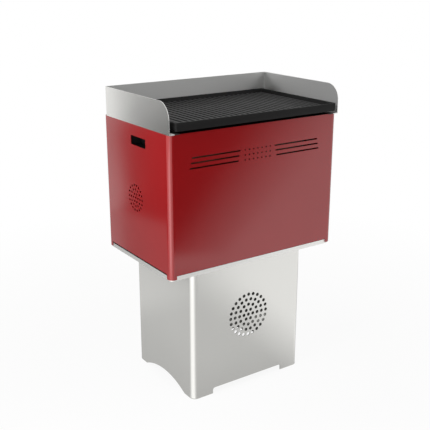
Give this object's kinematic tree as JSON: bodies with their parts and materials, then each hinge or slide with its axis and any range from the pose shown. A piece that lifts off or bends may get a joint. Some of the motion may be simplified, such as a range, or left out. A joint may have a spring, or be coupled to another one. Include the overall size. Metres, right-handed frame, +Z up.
{
  "type": "portable pellet grill",
  "caption": "Red sheet-metal pellet grill with a ribbed cast-iron griddle and steel splash guard, standing on a folded stainless pedestal.",
  "frame": {"origin": "floor under the middle of the casing, which is the middle of the whole part", "axes": "+X to the right seen from the front, +Y to the rear, +Z up"},
  "size_m": [0.601, 0.407, 0.934],
  "materials": {
    "red_paint": "satin powder coat",
    "stainless": "satin",
    "cast_iron": "seasoned, matt",
    "black_paint": "matt heat-resistant",
    "fire_steel": "heat-stained",
    "zinc": "zinc plated",
    "knob_plastic": "phenolic, fine grain"
  },
  "bodies": {
    "pedestal": {"pedestal_wrap": "stainless", "pedestal_rear_panel": "stainless", "pedestal_rear_screws": "zinc", "pedestal_tray": "stainless", "tray_studs": "zinc", "tray_nuts": "zinc"},
    "casing": {"outer_shell": "red_paint", "rear_panel": "red_paint", "rear_panel_screws": "zinc", "base_plate": "black_paint", "top_frame": "black_paint", "grip_pocket_left": "black_paint", "grip_pocket_right": "black_paint", "splash_guard": "stainless", "guard_screws": "zinc", "griddle_rail_left": "black_paint", "griddle_rail_right": "black_paint", "firebox_front": "fire_steel", "firebox_left": "fire_steel", "firebox_right": "fire_steel", "firebox_rear": "fire_steel", "burner_shelf": "fire_steel", "shelf_ledge_left": "fire_steel", "shelf_ledge_right": "fire_steel", "burn_pot": "fire_steel", "flame_spreader": "fire_steel", "spreader_legs": "fire_steel", "hopper_cheek_left": "fire_steel", "hopper_cheek_right": "fire_steel", "hopper_cover": "fire_steel", "hopper_floor": "fire_steel", "feed_chute": "fire_steel", "drawer_runner_left": "fire_steel", "drawer_runner_right": "fire_steel", "hinge_leaf": "zinc", "hinge_pin": "zinc", "hinge_rivets": "zinc", "shutter_guide_lower": "zinc", "shutter_guide_upper": "zinc", "guide_rivets": "zinc"},
    "griddle": {"griddle": "cast_iron"},
    "drawer": {"ash_tray": "fire_steel", "drawer_face": "red_paint", "drawer_pull": "stainless", "pull_screws": "zinc"},
    "flap": {"fuel_flap": "red_paint", "flap_knob": "knob_plastic"},
    "shutter": {"air_shutter": "stainless", "shutter_knob": "knob_plastic"}
  },
  "joints": [
    {"name": "casing_lift", "type": "slide", "parent": "pedestal", "child": "casing", "axis": [0, 0, 1], "range_m": [0, 0.12]},
    {"name": "griddle_lift", "type": "slide", "parent": "casing", "child": "griddle", "axis": [0, 0, 1], "range_m": [0, 0.12]},
    {"name": "ash_drawer_slide", "type": "slide", "parent": "casing", "child": "drawer", "axis": [0, 1, 0], "range_m": [0, 0.22]},
    {"name": "fuel_flap_hinge", "type": "hinge", "parent": "casing", "child": "flap", "pos_m": [0, 0.1913, 0.814], "axis": [1, 0, 0], "range_deg": [0, 85]},
    {"name": "air_shutter_slide", "type": "slide", "parent": "casing", "child": "shutter", "axis": [1, 0, 0], "range_m": [0, 0.014]}
  ]
}
